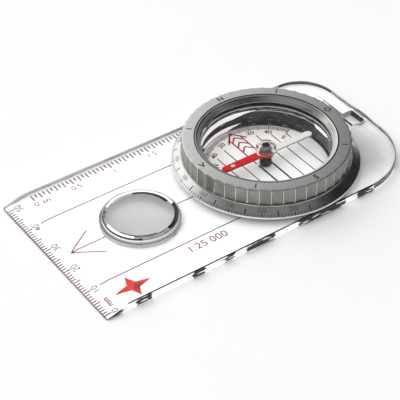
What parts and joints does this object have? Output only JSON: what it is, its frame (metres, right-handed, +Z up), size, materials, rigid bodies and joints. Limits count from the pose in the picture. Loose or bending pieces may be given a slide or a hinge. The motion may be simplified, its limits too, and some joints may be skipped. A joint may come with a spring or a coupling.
{
  "type": "baseplate compass",
  "caption": "Clear baseplate compass with map scales, a magnifier, and a fluted rotating degree dial holding a sealed capsule with a free needle.",
  "frame": {"origin": "centre of the bounding box in plan, on the plane of the baseplate's resting face", "axes": "+Y along the plate from the dial to the chamfered front edge (direction of travel), +X towards the inch-scale side, +Z up out of the dial's top face"},
  "size_m": [0.0546, 0.109, 0.0111],
  "materials": {
    "clear_acrylic": "clear polished acrylic",
    "lens_acrylic": "clear polished acrylic",
    "satin_aluminium": "satin turned",
    "black_nylon": "moulded",
    "polished_aluminium": "satin face, polished flutes",
    "turned_aluminium": "polished, turned",
    "window_acrylic": "clear polished acrylic",
    "black_rubber": "matt",
    "capsule_acrylic": "clear moulded",
    "plug_plastic": "moulded",
    "white_disc": "printed in dark red",
    "dark_boss": "glossy",
    "pin_steel": "ground point",
    "clip_plastic": "clear moulded",
    "red_enamel": "gloss enamel",
    "pale_enamel": "gloss enamel",
    "hub_acrylic": "clear moulded",
    "magnet_black": "sintered",
    "bearing_ruby": "polished",
    "cap_black": "glossy"
  },
  "bodies": {
    "plate": {"baseplate": "clear_acrylic", "magnifier_lens": "lens_acrylic"},
    "dial": {"graduated_ring": "satin_aluminium", "friction_ring": "black_nylon", "knurled_bezel": "polished_aluminium", "window_retaining_ring": "turned_aluminium", "capsule_window": "window_acrylic", "window_seal": "black_rubber", "capsule_body": "capsule_acrylic", "filler_plug": "plug_plastic", "orienting_disc": "white_disc", "pivot_base": "dark_boss", "pivot_pin": "pin_steel", "housing_clip_ring": "clip_plastic"},
    "needle": {"needle_north_arm": "red_enamel", "needle_south_arm": "pale_enamel", "needle_hub": "hub_acrylic", "needle_magnet": "magnet_black", "jewel_bearing": "bearing_ruby", "jewel_cap": "cap_black"}
  },
  "joints": [
    {"name": "dial_turn", "type": "hinge", "parent": "plate", "child": "dial", "pos_m": [-0.0002, -0.0165, 0], "axis": [0, 0, 1], "continuous": true},
    {"name": "needle_spin", "type": "hinge", "parent": "dial", "child": "needle", "pos_m": [-0.0002, -0.0165, 0], "axis": [0, 0, 1], "continuous": true}
  ]
}
